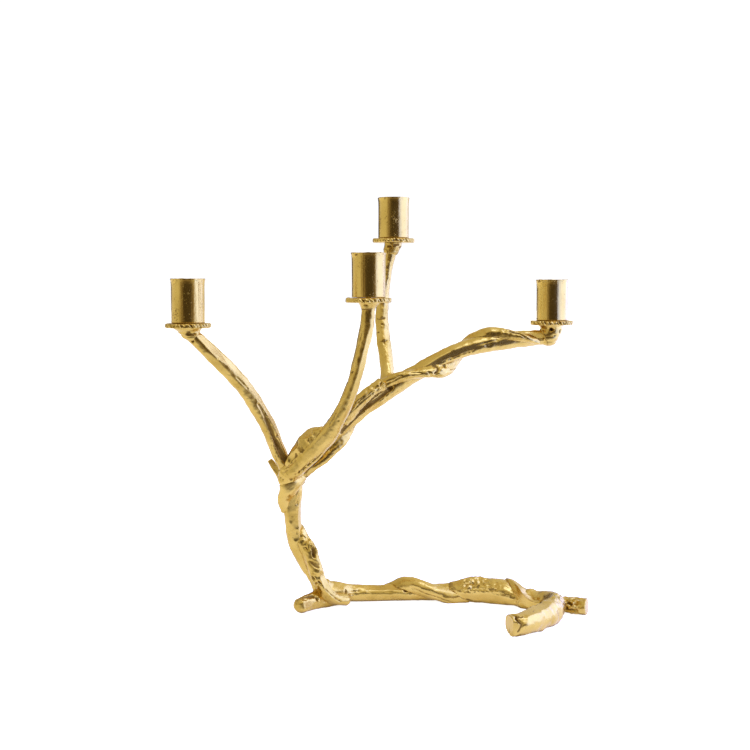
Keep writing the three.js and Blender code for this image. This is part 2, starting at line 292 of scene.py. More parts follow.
class Shade:
    """A socket of a material's nodes, so that shader maths reads as an expression."""

    def __init__(self, nodes, socket):
        self.nodes = nodes
        self.socket = socket

    def node(self, kind, settings=None, **sockets):
        """Adds a node: its settings are set first, then its sockets get values or links. A socket
        goes by its name, with _ for a space, or by its number, as in i6."""
        added = self.nodes.new(kind)
        for key, value in (settings or {}).items():
            setattr(added, key, value)
        for key, value in sockets.items():
            socket = added.inputs[int(key[1:]) if key[1:].isdigit() else key.replace("_", " ")]
            if isinstance(value, Shade):
                self.nodes.id_data.links.new(value.socket, socket)
            else:
                socket.default_value = value
        return added

    def out(self, added, key=0):
        return Shade(self.nodes, added.outputs[key])

    def maths(self, operation, *values):
        sockets = {f"i{i}": value for i, value in enumerate(values)}
        return self.out(self.node("ShaderNodeMath", {"operation": operation}, **sockets))

    def __add__(self, other):
        return self.maths("ADD", self, other)

    def __sub__(self, other):
        return self.maths("SUBTRACT", self, other)

    def __rsub__(self, other):
        return self.maths("SUBTRACT", other, self)

    def __mul__(self, other):
        return self.maths("MULTIPLY", self, other)

    __radd__ = __add__
    __rmul__ = __mul__

    def between(self, low, high):
        """0 where this is at or below low, 1 at or above high, and smooth between."""
        step = self.node("ShaderNodeMapRange", {"interpolation_type": "SMOOTHSTEP"},
                         Value=self, From_Min=low, From_Max=high)
        return self.out(step)

    def tint(self, below, above):
        """A colour that goes from below to above as this goes from 0 to 1."""
        sockets = {"Factor": self, "i6": below, "i7": above}
        mixed = self.node("ShaderNodeMix", {"data_type": "RGBA"}, **sockets)
        return self.out(mixed, 2)


def colour(red, green, blue):
    return (red, green, blue, 1)


# The brown of real patina in hollows, also used as painted shade in crevices and contacts.
PATINA_AND_SHADE = colour(0.29, 0.165, 0.022)


def brass(name, light, deep, gloss, mottle, tarnish, streaks=0.0):
    """Polished brass: warmer and darker in patches, brown and dull where the buff can't reach, and
    browned as painted shade where ambient occlusion finds crevices and contacts. Streaks are
    upright lines of a lathe's polish. Scales of the noises are per metre."""
    material = bpy.data.materials.new(name)
    material.use_nodes = True
    nodes = material.node_tree.nodes
    shader = nodes["Principled BSDF"]
    start = Shade(nodes, None)
    place = start.out(start.node("ShaderNodeTexCoord"), "Object")

    def clouds(scale, detail, roughness=0.55):
        added = start.node("ShaderNodeTexNoise", Vector=place, Scale=scale, Detail=detail,
                           Roughness=roughness)
        return start.out(added, "Fac")

    hollow = start.out(start.node("ShaderNodeAttribute", {"attribute_name": "hollow"}), "Fac")
    # Painted shade: ambient occlusion finds crevices, contacts and undersides for the brown tint.
    unshaded = start.out(
        start.node("ShaderNodeAmbientOcclusion", {"samples": 8}, Distance=0.006), "AO")
    upright = start.out(
        start.node("ShaderNodeMapping", {"vector_type": "POINT"}, Vector=place,
                   Scale=(1, 1, 0.04)))
    line = start.out(start.node("ShaderNodeTexNoise", Vector=upright, Scale=900, Detail=2), "Fac")
    patches = clouds(60, 4)
    specks = clouds(900, 3)
    # Real patina in cuts, seams and stains, tarnish specks, and painted shade from the occlusion.
    patina_and_shade = hollow.between(0.25, 0.9) + (1 - unshaded).between(0.3, 0.95) * 0.9
    patina_and_shade = (patina_and_shade + (patches * specks).between(0.34, 0.44) * tarnish).between(0.15, 1.1)
    metal = (patches * mottle).between(0.3, 0.8).tint(light, deep)
    look = patina_and_shade.tint(metal, PATINA_AND_SHADE)
    rough = gloss + patches * 0.14 + patina_and_shade * 0.35 + line * (streaks * 0.12)
    link = material.node_tree.links.new
    link(look.socket, shader.inputs["Base Color"])
    link(rough.socket, shader.inputs["Roughness"])
    link((1 - patina_and_shade * 0.2).socket, shader.inputs["Metallic"])
    relief = clouds(420, 5, 0.6) * 0.6 + clouds(140, 3) * (1.2 - streaks) - patina_and_shade * 0.8
    relief = relief + line * streaks
    bump = start.node("ShaderNodeBump", Strength=0.35, Distance=0.0004, Height=relief)
    link(bump.outputs["Normal"], shader.inputs["Normal"])
    return material


CAST_BRASS = brass("cast_brass", light=colour(0.70, 0.475, 0.105), deep=colour(0.56, 0.36, 0.06),
                   gloss=0.2, mottle=1.0, tarnish=0.6)

CREASE = math.radians(40)  # edges sharper than this stay sharp


def finish_piece(name, form, stands_for, material):
    """Makes an object of a bmesh, in the place of its CAD node or nodes."""
    mesh = bpy.data.meshes.new(name)
    form.to_mesh(mesh)
    form.free()
    mesh.shade_smooth()
    mesh.set_sharp_from_angle(angle=CREASE)
    mesh.materials.append(material)
    piece = bpy.data.objects.new(name, mesh)
    bpy.context.scene.collection.objects.link(piece)
    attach(piece, "root")
    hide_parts(*stands_for)


def cast_piece(name, route, **details):
    """Casts a vine, and keeps it for the pieces that will be brazed to it."""
    vine = Vine(route)
    form = cast_vine(name, vine, **details)
    finder = KDTree(len(vine.knots))
    for i, knot in enumerate(vine.knots):
        finder.insert(knot.to_3d(), i)
    finder.balance()
    brazed[name] = (vine, finder)
    finish_piece(f"{name}_casting", form, [name], CAST_BRASS)


TRUNK = [
    (-43, 4, 7, 7),
    (-49, 4, 24, 7.1),
    (-58, 3, 38, 7.1),
    (-65, 1, 54, 7.1),
    (-68, -2, 72, 6.8),
    (-68, -4, 87, 6.8),
    (-67, -5, 99, 7.2),
    (-67, -5, 111, 7.4),
]
cast_piece("trunk_core", TRUNK, ends=("cut", "round"), facets=[
    (0.81, 11, 9, 0.88),
    (0.70, 1, 7, 0.86),
    (0.80, 5, 12, 0.88),
    (0.66, -8, 9, 0.88),
    (0.58, 4, 9, 0.88),
    (0.45, 30, 22, 0.93),
    (0.6, -70, 30, 0.9),
    (0.25, -10, 16, 0.93),
], strokes=[
    (0.8, 1.4, [(0.59, -24), (0.57, -18)]),
    (0.5, 1.6, [(0.73, -12), (0.70, 12)]),
    (0.6, 1.2, [(0.85, -35), (0.8, -30)]),
    (0.4, 1.2, [(0.5, 60), (0.42, 75)]),
])

# ---- Heel, runner, log and feet ----------------------------------------------------------------
# The base is a forked branch that lies on the table. Its castings meet end to end, and each is
# ground flat underneath where it rests.

cast_piece("heel_foot", [
    (-61, -20, 6.4, 6.4),
    (-52, -9, 6.8, 6.9),
    (-41, 1, 6.9, 7.0),
    (-29, 7, 6.6, 6.6),
], ends=("round", "cut"), strokes=[
    (2.2, 3.0, [(0.04, 100), (0.15, 78), (0.28, 62)]),
    (2.0, 2.0, [(0.34, 21), (0.33, 35)]),
    (0.6, 1.4, [(0.02, 55), (0.06, 45)]),
    (0.6, 1.2, [(0.4, -20), (0.55, 0)]),
], facets=[
    (0.1, 10, 7, 0.88),
    (0.3, -20, 8, 0.9),
])

RUNNER = [
    (-45, 3, 16.6, 4.4),
    (-36, 8, 13, 6.5),
    (-24, 13, 8.7, 7.2),
    (-8, 17, 6.9, 7),
    (10, 19, 6.8, 7),
    (30, 20, 6.9, 7.1),
    (49, 20, 7.3, 7.3),
    (66, 19, 8.2, 7.6),
    (78, 17, 9, 7.6),
]
cast_piece("base_runner", RUNNER, ends=("round", "cut"), strokes=[
    (1.0, 1.6, [(0.15, -30), (0.16, 0), (0.155, 30)]),
    (0.7, 1.1, [(0.13, -20), (0.17, 0), (0.22, 8)]),
    (0.5, 1.0, [(0.15, 20), (0.21, 26), (0.27, 34)]),
    (0.3, 1.2, [(0.33, 34), (0.42, 28), (0.50, 26), (0.58, 30)]),
    (0.4, 1.2, [(0.18, 64), (0.24, 60)]),
    (2.0, 2.8, [(0.58, 52), (0.59, 36)]),
    (0.9, 1.2, [(0.56, 50)]),
    (0.9, 1.2, [(0.62, 46)]),
    (0.5, 1.4, [(0.68, -10), (0.76, -14)]),
], facets=[
    (0.46, 60, 24, 0.9),
    (0.3, -60, 40, 0.93),
    (0.72, 30, 12, 0.92),
])

cast_piece("bark_log", [
    (66, 19, 9.2, 6.6),
    (73, 18.5, 9.8, 9.2),
    (82, 17, 10, 10.7),
    (94, 14, 10, 11),
    (108, 9, 9.9, 10.9),
    (118, 4, 8.4, 9),
    (128, -2, 7, 7.2),
], ends=("round", "cut"), grain=0.6, lumps=0.7, sides=96, weld=2.0, torn=[
    (0.2, 60, 12, 1.0),
    (0.36, 58, 11, 0.9),
    (0.55, 52, 9, 0.8),
    (0.2, 10, 10, 1.0),
], strokes=[
    (0.6, 1.4, [(0.14, 40), (0.35, 44), (0.62, 38)]),
    (0.5, 1.0, [(0.3, 18), (0.45, 20), (0.56, 14)]),
    (1.0, 1.8, [(0.52, 22), (0.6, 22)]),
    (1.2, 2.0, [(0.2, -40), (0.26, -50)]),
    (0.5, 1.0, [(0.2, 80), (0.4, 76), (0.5, 84)]),
], facets=[
    (0.45, -25, 22, 0.93),
])

cast_piece("front_foot", [
    (120, 2, 7.1, 4.8),
    (133, -7, 7.4, 7.6),
    (141.5, -16, 8, 8.9),
    (144.5, -30, 8.8, 9.8),
    (140, -49, 9, 10),
    (124, -71, 8.8, 9.3),
    (113.5, -80.5, 8.4, 8.8),
    (103.8, -84.4, 8, 8.3),
], ends=("round", "cut"), lumps=1.2, facets=[
    (0.82, 100, 30, 0.87),
    (0.75, 22, 34, 0.92),
    (0.4, 60, 20, 0.92),
], strokes=[
    (1.7, 1.3, [(0.985, 78), (0.962, 108), (0.975, 135), (0.95, 170), (0.975, 205)]),
    (1.2, 1.1, [(0.97, 120), (0.93, 128)]),
    (1.1, 1.0, [(0.99, -120), (0.96, -128)]),
    (1.6, 1.2, [(1.0, -70), (0.97, -72)]),
    (1.0, 1.3, [(0.80, 100), (0.83, 112)]),
    (0.9, 1.2, [(0.70, 62), (0.72, 70)]),
    (0.8, 1.1, [(0.86, 60)]),
    (0.4, 2.6, [(0.60, 36), (0.64, 60), (0.66, 90)]),
    (0.35, 2.4, [(0.44, 20), (0.48, 50)]),
    (0.4, 2.4, [(0.78, 20), (0.86, 40)]),
    (0.35, 2.2, [(0.7, 110), (0.78, 120)]),
    (0.7, 1.2, [(0.30, 30), (0.36, 60), (0.42, 100), (0.52, 130)]),
    (0.5, 1.1, [(0.34, 80), (0.4, 120), (0.5, 150)]),
    (0.5, 1.2, [(0.66, 90), (0.72, 84)]),
], torn=[
    (0.93, 110, 8, 1.0),
    (0.4, 80, 11, 1.1),
    (0.5, 130, 12, 0.9),
    (0.75, 100, 14, 0.7),
    (0.6, 50, 14, 0.6),
])

cast_piece("right_foot", [
    (144, -13, 6.7, 5),
    (157, -20, 6.7, 6.7),
    (172, -26.5, 6.8, 6.9),
], ends=("round", "cut"), grain=1.0, lumps=0.9, weld=1.5, torn=[
    (0.55, 30, 11, 1.5),
    (0.75, 60, 9, 1.2),
], strokes=[
    (2.6, 3.2, [(0.34, 10), (0.4, -10)]),
    (1.2, 1.6, [(0.5, -20), (0.8, -16)]),
    (1.2, 1.5, [(0.55, 40), (0.66, 20)]),
])

# ---- Arms and the long limb --------------------------------------------------------------------
# Three arms and a long limb spring from the top of the trunk, and each ends under a candle cup.

RIGHT_LIMB = [
    (-70, -4, 104, 6.6),
    (-59, -4, 117.4, 6.9),
    (-48, -2, 130.5, 7.2),
    (-36, 0, 143, 7.3),
    (-24, 3, 155.2, 7.4),
    (-10, 7, 167, 7.4),
    (4.5, 11, 176, 7.4),
    (20, 14, 186, 7.4),
    (36, 17, 195.4, 7.3),
    (56, 21, 206.3, 7.2),
    (76, 25, 214.5, 7.2),
    (100, 29, 219.5, 7.2),
    (127, 33, 222.7, 6.8),
    (148, 35, 224.1, 6.3),
]
cast_piece("right_limb", RIGHT_LIMB, ends=("cut", "round"), strokes=[
    (1.8, 3.0, [(0.23, -26), (0.30, -21), (0.34, -15), (0.38, -12), (0.42, -2), (0.44, 5)]),
    (2.0, 4.0, [(0.44, 8)]),
    (0.9, 1.1, [(0.63, -20), (0.67, -33), (0.71, -30), (0.74, -32)]),
    (0.6, 2.4, [(0.785, -16), (0.8, -18)]),
    (0.5, 1.6, [(0.74, -4), (0.78, 2), (0.82, 8)]),
    (1.2, 1.5, [(0.94, -10), (0.955, -24)]),
    (0.8, 1.1, [(0.955, -22), (0.99, -18)]),
    (1.0, 1.8, [(0.13, -47), (0.15, -60)]),
], facets=[
    (0.62, 42, 40, 0.9),
    (0.70, -5, 36, 0.9),
    (0.52, 40, 26, 0.9),
    (0.85, -8, 28, 0.92),
    (0.3, -45, 40, 0.93),
    (0.96, 8, 12, 0.86),
])

cast_piece("left_arm", [
    (-70, -5, 108, 6),
    (-75, -10, 123, 6.3),
    (-81, -14, 138, 6.4),
    (-86, -19, 152, 6.3),
    (-93, -24, 167, 6.2),
    (-103.5, -31, 185, 6.2),
    (-115.5, -38, 200.5, 6.3),
    (-129.5, -44, 215.5, 6.5),
    (-140.6, -48, 227, 5.8),
    (-147, -49, 231.4, 5.6),
], ends=("round", "round"), strokes=[
    (1.0, 2.4, [(0.47, -34), (0.44, -33), (0.38, -22), (0.32, -16), (0.26, -14), (0.2, -20)]),
    (0.9, 3.4, [(0.38, -22), (0.3, -18), (0.2, -22), (0.13, -26)]),
    (1.0, 4.6, [(0.24, -20), (0.2, -22), (0.13, -26)]),
    (0.8, 1.2, [(0.435, -58)]),
    (0.9, 1.3, [(0.275, -44)]),
    (0.7, 1.4, [(0.24, 24), (0.22, 30)]),
    (0.8, 1.3, [(0.17, 32), (0.14, 38)]),
    (0.5, 1.3, [(0.66, -20), (0.58, -30)]),
    (0.5, 1.2, [(0.74, 20), (0.7, 10)]),
    (0.5, 1.2, [(0.83, -28), (0.8, -22)]),
    (1.8, 2.0, [(0.95, 25), (0.97, 5)]),
], facets=[
    (0.62, -62, 44, 0.88),
    (0.85, -50, 20, 0.88),
    (0.7, 15, 30, 0.93),
])

cast_piece("front_arm", [
    (-74, -11, 108, 6.2),
    (-61, -20, 123, 7.4),
    (-49, -28, 136, 7.6),
    (-37, -36, 150, 7),
    (-27.5, -43, 166, 6),
    (-20.5, -48, 181, 5.7),
    (-14.5, -53, 200, 5.4),
    (-9.5, -56, 221, 5.3),
    (-6, -58.5, 239, 5.1),
    (-5, -59, 251, 5.2),
], ends=("round", "cut"), strokes=[
    (0.6, 1.2, [(0.53, 48), (0.46, 26), (0.42, 26)]),
    (0.9, 1.3, [(0.69, 36), (0.70, 30)]),
    (0.7, 1.4, [(0.6, 70), (0.61, 60)]),
    (0.7, 1.2, [(0.46, -13)]),
    (0.7, 1.2, [(0.37, -33)]),
    (0.7, 1.0, [(0.06, 70), (0.1, 52), (0.15, 45)]),
    (0.8, 1.2, [(0.04, 60), (0.08, 40)]),
    (1.0, 3.0, [(0.05, -28)]),
    (1.3, 1.4, [(0.115, -34)]),
    (1.0, 1.2, [(0.093, -19)]),
    (1.0, 1.3, [(0.015, 46)]),
    (1.0, 1.4, [(0.025, 17)]),
    (1.6, 1.5, [(0.135, -44), (0.15, -46)]),
    (2.0, 1.7, [(0.17, -50), (0.185, -52)]),
    (2.0, 2.0, [(0.2, -58), (0.22, -60), (0.26, -66)]),
    (0.9, 1.1, [(0.1, -30), (0.17, -34), (0.24, -44)]),
    (0.5, 1.2, [(0.8, 30), (0.88, 20)]),
], facets=[
    (0.25, 5, 26, 0.92),
    (0.75, 60, 40, 0.9),
    (0.7, -50, 40, 0.9),
])

cast_piece("rear_arm", [
    (10, 16, 186, 5.6),
    (10, 27, 200, 5.6),
    (8, 35, 216, 5.6),
    (6, 42, 235, 5.7),
    (6.5, 47, 255, 5.3),
    (9.5, 50, 277, 4.9),
    (12.5, 52, 294, 5),
    (16, 52, 302, 5.4),
], ends=("round", "cut"), strokes=[
    (1.1, 1.3, [(0.475, -20), (0.47, 20), (0.475, 50)]),
    (0.9, 1.2, [(0.427, 0)]),
    (1.1, 1.3, [(0.385, 62), (0.38, 40)]),
    (0.9, 1.2, [(0.31, -30), (0.306, 10), (0.31, 40)]),
    (0.9, 1.2, [(0.29, 4)]),
    (0.8, 1.4, [(0.62, 10), (0.72, 14), (0.78, 8)]),
], facets=[
    (0.4, 40, 24, 0.9),
    (0.75, 60, 24, 0.9),
])

# ---- Twined strands ----------------------------------------------------------------------------
# Thinner strands wind round the limb and the runner. Each is a casting, sprung over its core and
# brazed where it touches.


WAY_SCALE, DEGREE_SHARE = 300, 3  # they bring ways and degrees to like sizes
TURN_SPACING = 50  # between two turns, where the stand-off and the radius make a line
POINT_DEGREES = 25  # from one point of a wound strand to the next


def wound(core, turns):
    """The route of a strand wound round a core. A turn is how far along the core's points, the
    degrees round it (0 in front, 90 on top), the stand-off from its skin, and the radius. Both
    pairs are smoothed as the points of a vine of their own."""
    cored = Vine(core)
    winding, build = [], []
    for i, (way, degrees, standoff, radius) in enumerate(turns):
        winding.append((way * WAY_SCALE, degrees / DEGREE_SHARE, 0, 0))
        build.append((i * TURN_SPACING, standoff, radius, 0))
    winding, build = Vine(winding), Vine(build)
    count = math.ceil(abs(turns[-1][1] - turns[0][1]) / POINT_DEGREES)
    route = []
    for i in range(count + 1):
        way, degrees, _, _ = winding.knots[round(i / count * winding.count)]
        _, standoff, radius, _ = build.knots[round(i / count * build.count)]
        at = cored.beside(way / WAY_SCALE, degrees * DEGREE_SHARE, standoff)
        route.append((*at, radius))
    return route


LIMB_TWINE = wound(RIGHT_LIMB, [
    (0.05, -58, -3.4, 3),
    (0.12, -70, 0.6, 4.7),
    (0.185, -78, 0.7, 4.9),
    (0.255, -98, -2.4, 4.4),
    (0.36, -180, 0, 4.2),
    (0.45, -270, 1.4, 4.2),
    (0.60, -360, 0.2, 3.8),
    (0.685, -450, 2.4, 5.4),
    (0.765, -540, 1.6, 5.2),
    (0.84, -630, 1.6, 5.6),
    (0.92, -720, 0.4, 3.8),
    (0.96, -765, 0.4, 1.6),
])
cast_piece("limb_twine", LIMB_TWINE, ends=("round", "round"), lumps=0.8, weld=2.5, strokes=[
    (1.2, 1.4, [(0.05, 20), (0.09, 30)]),
    (1.0, 1.3, [(0.12, 24)]),
    (1.5, 1.5, [(0.575, 92), (0.585, 66), (0.583, 30), (0.575, 0)]),
    (1.6, 2.2, [(0.612, 66)]),
    (0.6, 1.2, [(0.555, 20), (0.56, -20)]),
    (0.8, 1.2, [(0.63, 10), (0.65, -30)]),
    (2.4, 2.6, [(0.905, 112), (0.925, 112)]),
    (1.0, 1.2, [(0.93, 100), (0.95, 60)]),
    (0.6, 1.1, [(0.4, -20), (0.44, -10), (0.47, 20)]),
    (0.5, 1.1, [(0.5, 40), (0.53, 20)]),
], torn=[
    (0.6, 40, 9, 0.8),
    (0.9, 80, 9, 0.9),
])

BASE_TWINE = wound(RUNNER, [
    (0.51, 165, -1, 2.4),
    (0.6, 95, 2, 5),
    (0.7, 45, 1.4, 5.2),
    (0.8, 0, 0.8, 4.8),
    (0.9, -50, 0.4, 4.4),
    (0.98, -85, -1.6, 3.6),
])
cast_piece("base_twine", BASE_TWINE, ends=("round", "round"), strokes=[
    (0.8, 1.2, [(0.35, -10), (0.5, -20), (0.65, -10), (0.8, 0)]),
])

cast_piece("fork_ridge", [
    (113, 13, 17, 2.4),
    (116, 5, 18, 3.4),
    (119.5, -4, 15.6, 4.2),
    (123, -11, 10.8, 4.6),
    (128, -17, 7, 4.2),
    (136, -20, 6, 2.8),
], sides=64, ends=("round", "round"), facets=[
    (0.5, 25, 22, 0.55),
    (0.5, -85, 22, 0.6),
    (0.5, 135, 22, 0.6),
], weld=4)

cast_piece("trunk_twine", [
    (-64, 5, 66, 2.8),
    (-60, 0, 59, 4.3),
    (-54.5, -5, 50, 5.6),
    (-51, -7, 39.5, 6),
    (-47, -8, 27, 5.8),
    (-41, -8, 16, 5.2),
    (-33, -5, 8, 4.8),
    (-24, 0, 5, 4),
], ends=("round", "round"), torn=[
    (0.18, 10, 9, 1.5),
    (0.3, 60, 7, 1.0),
    (0.56, -30, 8, 1.2),
], strokes=[
    (3.0, 2.6, [(0.29, 46), (0.34, 34)]),
    (1.0, 4.4, [(0.32, 40)]),
    (0.9, 3.2, [(0.40, -10), (0.42, 15), (0.44, 40)]),
    (0.8, 1.2, [(0.38, -30), (0.41, -8), (0.45, 14), (0.47, 40)]),
    (1.0, 1.3, [(0.24, -26), (0.27, -10)]),
    (1.4, 1.6, [(0.54, -48), (0.56, -34)]),
    (1.3, 1.5, [(0.6, -6), (0.63, 6)]),
    (0.9, 1.2, [(0.7, 20), (0.8, 30), (0.9, 20)]),
    (0.7, 1.2, [(0.72, 60), (0.85, 66)]),
], facets=[
    (0.7, 45, 16, 0.88),
])

cast_piece("inner_strand", [
    (-27, -5, 157.5, 3.6),
    (-15, -3, 170.5, 4.8),
    (-4, 0, 180, 5),
    (6, 4, 186.5, 4.6),
], ends=("round", "cut"), grain=0.5, torn=[
    (0.75, 20, 9, 0.8),
    (0.45, 20, 8, 0.4),
    (0.97, 0, 6, 1.6),
], strokes=[
    (0.25, 0.9, [(0.2, 10), (0.5, 5), (0.8, 20)]),
    (0.2, 0.8, [(0.3, 50), (0.6, 44), (0.9, 50)]),
    (0.9, 1.2, [(0.9, -10), (0.97, 14)]),
])

cast_piece("arm_burl", [
    (-70, -17, 123, 3.6),
    (-60.8, -23, 135, 6.8),
    (-51.5, -28, 144.8, 7.4),
    (-42, -35, 151.5, 4.6),
], ends=("round", "round"), lumps=0.8, weld=1.2, facets=[
    (0.56, 20, 6.5, 0.74),
    (0.40, 66, 5.5, 0.72),
    (0.26, 10, 7, 0.7),
    (0.74, 62, 6.5, 0.76),
], strokes=[
    (0.8, 2.4, [(0.50, 4), (0.47, -16)]),
    (0.9, 2.4, [(0.31, 4), (0.27, -12)]),
    (0.5, 2.2, [(0.60, 34), (0.57, 20)]),
    (0.9, 1.3, [(0.8, 40)]),
    (0.8, 1.2, [(0.7, 80), (0.74, 60)]),
], torn=[
    (0.75, 50, 7, 1.4),
])

cast_piece("curled_tail", [
    (-66, 0, 112, 2),
    (-61, -8.5, 109.5, 2.2),
    (-65, -13, 105.6, 3.8),
    (-70.5, -13, 101.6, 5),
    (-75.5, -10, 95, 4.6),
    (-76.5, -7, 88, 3.4),
    (-76, -4, 82, 1.6),
], ends=("round", "round"), sides=48, strokes=[
    (0.8, 1.2, [(0.15, 50), (0.3, 30), (0.4, 40)]),
    (0.8, 1.3, [(0.62, 10)]),
    (0.8, 1.2, [(0.7, 30)]),
])

cast_piece("cut_twig", [
    (-76, -3, 106, 3.3),
    (-81.5, -1, 115, 2.8),
    (-87, 1, 123, 2.4),
], sides=40, facets=[
    (0.6, -10, 12, 0.8),
])

# ---- Seats -------------------------------------------------------------------------------------
# A cast seat is brazed to each arm's end. It widens upwards to a top that is cut level, and a
# pan lies on it.

STATIONS = ("left", "front", "rear", "right")
LUCK = {side: random.Random(side).uniform(0, 90) for side in STATIONS}  # of its pan and cup


def seat(side, route, **details):
    form = cast_vine(f"{side}_seat", Vine(route, level=True), **details)
    finish_piece(f"{side}_seat_casting", form, [f"{side}_seat"], CAST_BRASS)


seat("left", [
    (-146, -49, 234.4, 11.6),
    (-146, -49, 233.4, 10.6),
    (-145.8, -48.9, 232, 8.6),
    (-144.6, -48.7, 230, 6.8),
    (-142.6, -48.4, 228, 5.2),
], ends=("cut", "round"), strokes=[
    (2.4, 2.0, [(0.5, 8), (0.66, -8)]),
    (1.4, 1.6, [(0.6, 40), (0.75, 26)]),
], lumps=0.4, weld=2.5)

seat("front", [
    (-4.5, -59, 254.3, 8.3),
    (-4.6, -59, 252.8, 7.4),
    (-5.2, -59, 250.9, 6),
    (-5.4, -59, 249.5, 5.5),
], ends=("cut", "cut"), strokes=[
    (0.6, 0.8, [(0.98, -110), (0.96, 0), (0.98, 110)]),
    (0.9, 1.2, [(0.3, -30), (0.35, -10)]),
], lumps=0.4, weld=1.0)

seat("rear", [
    (15.2, 52, 304.1, 7.4),
    (15.1, 52, 302, 6.9),
    (14.6, 52, 299.5, 6),
    (13.8, 52, 296.6, 5),
], ends=("cut", "round"), strokes=[
    (1.8, 1.6, [(0.2, 40), (0.25, 10)]),
    (1.8, 1.5, [(0.42, -10), (0.36, -34)]),
    (1.2, 1.4, [(0.5, 60)]),
], torn=[
    (0.3, 10, 6, 1.2),
], lumps=0.5, weld=3)

seat("right", [
    (149.3, 35, 234, 10.6),
    (149.6, 35, 232.4, 9.7),
    (150, 35, 230.6, 8.9),
    (149.6, 35, 228, 8.6),
    (148.7, 35, 225, 8.2),
    (148, 35, 222, 7.2),
    (147.6, 35, 220.4, 5.4),
], ends=("cut", "round"), strokes=[
    (5.5, 1.9, [(0.25, -8)]),
    (1.4, 1.8, [(0.3, 50), (0.42, 50)]),
    (0.8, 1.2, [(0.6, -50), (0.66, -10), (0.62, 20)]),
], lumps=0.5, weld=3)

# ---- Drip pans ---------------------------------------------------------------------------------
# A round brass pan lies on each seat, with a hole for the screw. Its rim is chased all round with
# slanting nicks, which leave it uneven.

HOLE = 2.3  # radius of the screw's hole
PAN, PAN_HEIGHT = 18, 3.6  # radius and height
NICKS = 31


def turned(profile, at, sides):
    """A bmesh of a shape turned about a vertical axis, from (radius, height) pairs."""
    fine = []
    for (r1, z1), (r2, z2) in zip(profile, profile[1:]):
        count = max(1, round(math.hypot(r2 - r1, z2 - z1) / STEP))
        fine += [(r1 + (r2 - r1) * i / count, z1 + (z2 - z1) * i / count) for i in range(count)]
    form = bmesh.new()
    form.verts.layers.float.new("hollow")
    rim = [form.verts.new((radius, 0, height)) for radius, height in [*fine, profile[-1]]]
    edges = [form.edges.new(pair) for pair in zip(rim, rim[1:])]
    bmesh.ops.spin(form, geom=rim + edges, axis=(0, 0, 1), cent=(0, 0, 0), dvec=(0, 0, 0),
                   angle=2 * math.pi, steps=sides, use_merge=True)
    bmesh.ops.remove_doubles(form, verts=form.verts, dist=1e-4)
    bmesh.ops.recalc_face_normals(form, faces=form.faces)
    bmesh.ops.translate(form, verts=form.verts, vec=at)
    return form


def settle(form, change, foot, luck):
    """Moves each vertex as change(place, foot, luck) says, which also gives its dirt, and then to
    metres."""
    hollow = form.verts.layers.float["hollow"]
    for vert in form.verts:
        move, dirt = change(vert.co.copy(), foot, luck)
        vert[hollow] = min(max(dirt, 0), 1)
        vert.co = within_box((vert.co + move) * MM)


def chased(place, foot, luck):
    """How the chasing moves a spot on a pan, and the dirt it leaves there."""
    flat = (place - foot).to_2d()
    turn = math.atan2(flat.y, flat.x)
    height = place.z - foot.z
    edge = min(1, max(0, flat.length / PAN - 0.78) * 6)
    ring = Vector((math.cos(turn), math.sin(turn), 0))
    swing = noise.noise(ring * 1.7 + Vector((0, 0, luck)))
    nick = math.sin(NICKS * turn + 6 * swing + height * 1.5)
    force = max(0, 0.7 + noise.noise(ring * 4 + Vector((luck, 0, 0))))
    nick = max(0, nick - 0.1) ** 0.6 * force
    nick *= min(1, max(0.25, height / 1.2))
    chunk = noise.fractal(ring * 5 + Vector((0, luck, height * 0.25)), 0.7, 2.2, 3)
    wave = noise.fractal(Vector((place.x, place.y, luck)) * 0.25, 0.8, 2, 3)
    rise = wave * min(1, height / 2)
    inwards = 0.2 + 0.5 * chunk + 1.3 * nick
    move = ring * -edge * max(0, inwards) + Vector((0, 0, (0.5 * rise - 0.25) * edge))
    return move, edge * nick


for side in STATIONS:
    foot = underside(f"{side}_drip_pan") / MM
    pan = turned([
        (HOLE, 0), (14, 0), (17.2, 0.1), (17.8, 0.6), (PAN, 1.2), (PAN, 2.8), (17.8, 3.3),
        (17.2, PAN_HEIGHT), (15, PAN_HEIGHT), (HOLE, PAN_HEIGHT), (HOLE, 0),
    ], foot, sides=400)
    settle(pan, chased, foot, LUCK[side])
    finish_piece(f"{side}_pan", pan, [f"{side}_drip_pan"], CAST_BRASS)

# ---- Candle cups -------------------------------------------------------------------------------
# Each cup is turned from brass bar and polished on the lathe. It has a slightly flared lip and a
# countersunk hole in its floor, and stands in the middle of its pan.

CUP_BORE, CUP_SKIN, CUP_HEIGHT, CUP_FLOOR = 11.3, 13.0, 34.4, 3.0
CUP_BRASS = brass("turned_brass", light=colour(0.70, 0.475, 0.105), deep=colour(0.54, 0.34, 0.055),
                  gloss=0.10, mottle=0.8, tarnish=1.5, streaks=0.6)


def worn(place, foot, luck):
    """How wear moves a spot on a cup, and the dirt there: faint dents and an uneven lip."""
    out = (place - foot).to_2d().to_3d().normalized()
    height = (place.z - foot.z) / CUP_HEIGHT
    hammered = Vector((place.x * 0.07, place.y * 0.07, place.z * 0.03 + luck))
    drawn = Vector((place.x * 0.24, place.y * 0.24, place.z * 0.035 + luck))
    dents = 0.18 * noise.noise(hammered) + 0.09 * noise.noise(drawn)
    nearly_top = max(0, height - 0.88) * 8
    lip = noise.fractal(place * 0.22 + Vector((luck, 0, 0)), 1, 2, 2) * nearly_top
    specks = noise.noise(place * 0.5 + Vector((0, luck, 0))) * max(0, height - 0.72) * 6
    dirt = specks + max(0, 0.04 - height) * 14
    return out * (dents + 0.22 * lip) + Vector((0, 0, 0.3 * lip)), dirt


